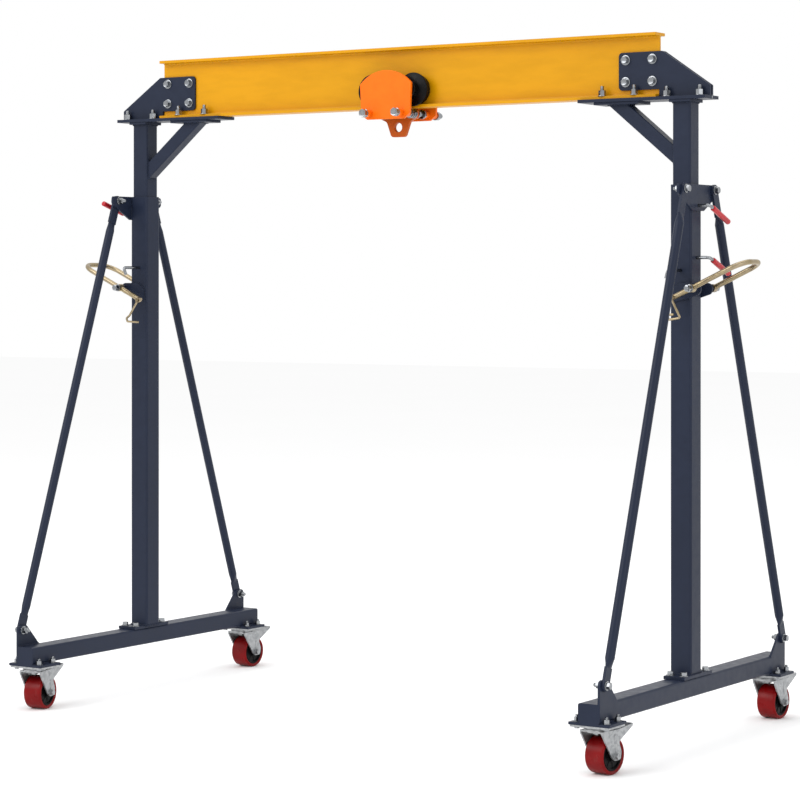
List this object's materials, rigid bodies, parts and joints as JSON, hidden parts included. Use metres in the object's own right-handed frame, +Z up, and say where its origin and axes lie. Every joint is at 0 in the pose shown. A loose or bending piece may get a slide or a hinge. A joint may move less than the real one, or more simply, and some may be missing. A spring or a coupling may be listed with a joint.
{
  "type": "mobile gantry crane",
  "caption": "Mobile gantry crane: I-beam on two pinned telescopic posts with braced base beams, braked swivel casters and a rolling trolley with a hook eye.",
  "frame": {"origin": "on the floor, under the middle of the crane's bounding box", "axes": "+X along the I-beam, +Y along the base beams towards the ends where the brake pedals reach past them, +Z up"},
  "size_m": [2.5254, 1.2972, 2.144],
  "materials": {
    "beam_paint": "semi-gloss enamel",
    "frame_paint": "satin powder coat",
    "trolley_paint": "semi-gloss enamel",
    "trolley_wheel": "satin black",
    "tread": "satin polyurethane",
    "wheel_hub": "satin black",
    "zinc": "bright zinc plate",
    "gold_zinc": "yellow-passivated zinc",
    "grip": "satin dipped vinyl"
  },
  "bodies": {
    "legs": {"left_base_beam": "frame_paint", "left_braces": "frame_paint", "left_caster_top_plates": "zinc", "left_outer_post": "frame_paint", "left_yoke": "frame_paint", "right_base_beam": "frame_paint", "right_braces": "frame_paint", "right_caster_top_plates": "zinc", "right_outer_post": "frame_paint", "right_yoke": "frame_paint"},
    "top_frame": {"i_beam": "beam_paint", "left_head_bracket": "frame_paint", "left_inner_post": "frame_paint", "left_knee_brace": "frame_paint", "right_head_bracket": "frame_paint", "right_inner_post": "frame_paint", "right_knee_brace": "frame_paint"},
    "trolley": {"load_plate": "trolley_paint", "trolley_rods": "zinc", "trolley_side_plates": "trolley_paint"},
    "left_cross_pin": {"left_cross_pin": "zinc"},
    "left_front_caster": {"left_front_caster_fork": "zinc"},
    "left_front_caster_wheel": {"left_front_caster_hub": "wheel_hub", "left_front_caster_tyre": "tread"},
    "left_lift_lever": {"left_lift_lever": "gold_zinc"},
    "left_lift_link": {"left_lift_link": "gold_zinc"},
    "left_rear_caster": {"left_rear_caster_fork": "zinc"},
    "left_rear_caster_wheel": {"left_rear_caster_hub": "wheel_hub", "left_rear_caster_tyre": "tread"},
    "left_upper_pin": {"left_upper_grip": "grip", "left_upper_pin": "zinc"},
    "right_cross_pin": {"right_cross_pin": "zinc"},
    "right_front_caster": {"right_front_caster_fork": "zinc"},
    "right_front_caster_wheel": {"right_front_caster_hub": "wheel_hub", "right_front_caster_tyre": "tread"},
    "right_lift_lever": {"right_lift_lever": "gold_zinc"},
    "right_lift_link": {"right_lift_link": "gold_zinc"},
    "right_lower_pin": {"right_lower_grip": "grip", "right_lower_pin": "zinc"},
    "right_rear_caster": {"right_rear_caster_fork": "zinc"},
    "right_rear_caster_wheel": {"right_rear_caster_hub": "wheel_hub", "right_rear_caster_tyre": "tread"},
    "right_upper_pin": {"right_upper_grip": "grip", "right_upper_pin": "zinc"},
    "trolley_wheel_front_left": {"trolley_wheel_front_left": "trolley_wheel"},
    "trolley_wheel_front_right": {"trolley_wheel_front_right": "trolley_wheel"},
    "trolley_wheel_rear_left": {"trolley_wheel_rear_left": "trolley_wheel"},
    "trolley_wheel_rear_right": {"trolley_wheel_rear_right": "trolley_wheel"}
  },
  "joints": [
    {"name": "height", "type": "slide", "parent": "legs", "child": "top_frame", "axis": [0, 0, 1], "range_m": [0, 0.936]},
    {"name": "trolley_travel", "type": "slide", "parent": "top_frame", "child": "trolley", "axis": [1, 0, 0], "range_m": [-0.61, 0.595]},
    {"name": "trolley_wheel_front_left_spin", "type": "hinge", "parent": "trolley", "child": "trolley_wheel_front_left", "pos_m": [-0.07, -0.0825, 2.0053], "axis": [0, 1, 0], "continuous": true},
    {"name": "trolley_wheel_front_right_spin", "type": "hinge", "parent": "trolley", "child": "trolley_wheel_front_right", "pos_m": [0.084, -0.0825, 2.0053], "axis": [0, 1, 0], "continuous": true},
    {"name": "trolley_wheel_rear_left_spin", "type": "hinge", "parent": "trolley", "child": "trolley_wheel_rear_left", "pos_m": [-0.07, 0.0175, 2.0053], "axis": [0, 1, 0], "continuous": true},
    {"name": "trolley_wheel_rear_right_spin", "type": "hinge", "parent": "trolley", "child": "trolley_wheel_rear_right", "pos_m": [0.084, 0.0175, 2.0053], "axis": [0, 1, 0], "continuous": true},
    {"name": "left_front_caster_swivel", "type": "hinge", "parent": "legs", "child": "left_front_caster", "pos_m": [-1.04, -0.5975, 0.139], "axis": [0, 0, 1], "continuous": true},
    {"name": "left_front_caster_roll", "type": "hinge", "parent": "left_front_caster", "child": "left_front_caster_wheel", "pos_m": [-1.0459, -0.56402, 0.054], "axis": [0.9848, 0.1736, 0], "continuous": true},
    {"name": "left_rear_caster_swivel", "type": "hinge", "parent": "legs", "child": "left_rear_caster", "pos_m": [-1.04, 0.5325, 0.139], "axis": [0, 0, 1], "continuous": true},
    {"name": "left_rear_caster_roll", "type": "hinge", "parent": "left_rear_caster", "child": "left_rear_caster_wheel", "pos_m": [-1.03822, 0.56645, 0.054], "axis": [0.9986, -0.0523, 0], "continuous": true},
    {"name": "right_front_caster_swivel", "type": "hinge", "parent": "legs", "child": "right_front_caster", "pos_m": [1.04, -0.5975, 0.139], "axis": [0, 0, 1], "continuous": true},
    {"name": "right_front_caster_roll", "type": "hinge", "parent": "right_front_caster", "child": "right_front_caster_wheel", "pos_m": [1.04473, -0.56383, 0.054], "axis": [0.9903, -0.1392, 0], "continuous": true},
    {"name": "right_rear_caster_swivel", "type": "hinge", "parent": "legs", "child": "right_rear_caster", "pos_m": [1.04, 0.5325, 0.139], "axis": [0, 0, 1], "continuous": true},
    {"name": "right_rear_caster_roll", "type": "hinge", "parent": "right_rear_caster", "child": "right_rear_caster_wheel", "pos_m": [1.04208, 0.56644, 0.054], "axis": [0.9981, -0.061, 0], "continuous": true},
    {"name": "left_lever_tilt", "type": "hinge", "parent": "legs", "child": "left_lift_lever", "pos_m": [-1.087, -0.0325, 1.372], "axis": [0, -1, 0], "range_deg": [-20, 55]},
    {"name": "left_link_swing", "type": "hinge", "parent": "left_lift_lever", "child": "left_lift_link", "pos_m": [-0.99637, -0.118, 1.32974], "axis": [0, -1, 0], "range_deg": [-50, 30]},
    {"name": "left_upper_pin_pull", "type": "slide", "parent": "legs", "child": "left_upper_pin", "axis": [-1, 0, 0], "range_m": [0, 0.065]},
    {"name": "left_cross_pin_pull", "type": "slide", "parent": "legs", "child": "left_cross_pin", "axis": [0, -1, 0], "range_m": [0, 0.08]},
    {"name": "right_lever_tilt", "type": "hinge", "parent": "legs", "child": "right_lift_lever", "pos_m": [1.087, -0.0325, 1.372], "axis": [0, 1, 0], "range_deg": [-20, 55]},
    {"name": "right_link_swing", "type": "hinge", "parent": "right_lift_lever", "child": "right_lift_link", "pos_m": [1.02718, -0.118, 1.34411], "axis": [0, 1, 0], "range_deg": [-50, 30]},
    {"name": "right_upper_pin_pull", "type": "slide", "parent": "legs", "child": "right_upper_pin", "axis": [1, 0, 0], "range_m": [0, 0.065]},
    {"name": "right_lower_pin_pull", "type": "slide", "parent": "legs", "child": "right_lower_pin", "axis": [1, 0, 0], "range_m": [0, 0.065]},
    {"name": "right_cross_pin_pull", "type": "slide", "parent": "legs", "child": "right_cross_pin", "axis": [0, -1, 0], "range_m": [0, 0.08]}
  ],
  "couplings": [
    {"joint": "trolley_wheel_front_left_spin", "follows": "trolley_travel", "rad_per_m": 20.833},
    {"joint": "trolley_wheel_front_right_spin", "follows": "trolley_travel", "rad_per_m": 20.833},
    {"joint": "trolley_wheel_rear_left_spin", "follows": "trolley_travel", "rad_per_m": 20.833},
    {"joint": "trolley_wheel_rear_right_spin", "follows": "trolley_travel", "rad_per_m": 20.833}
  ]
}
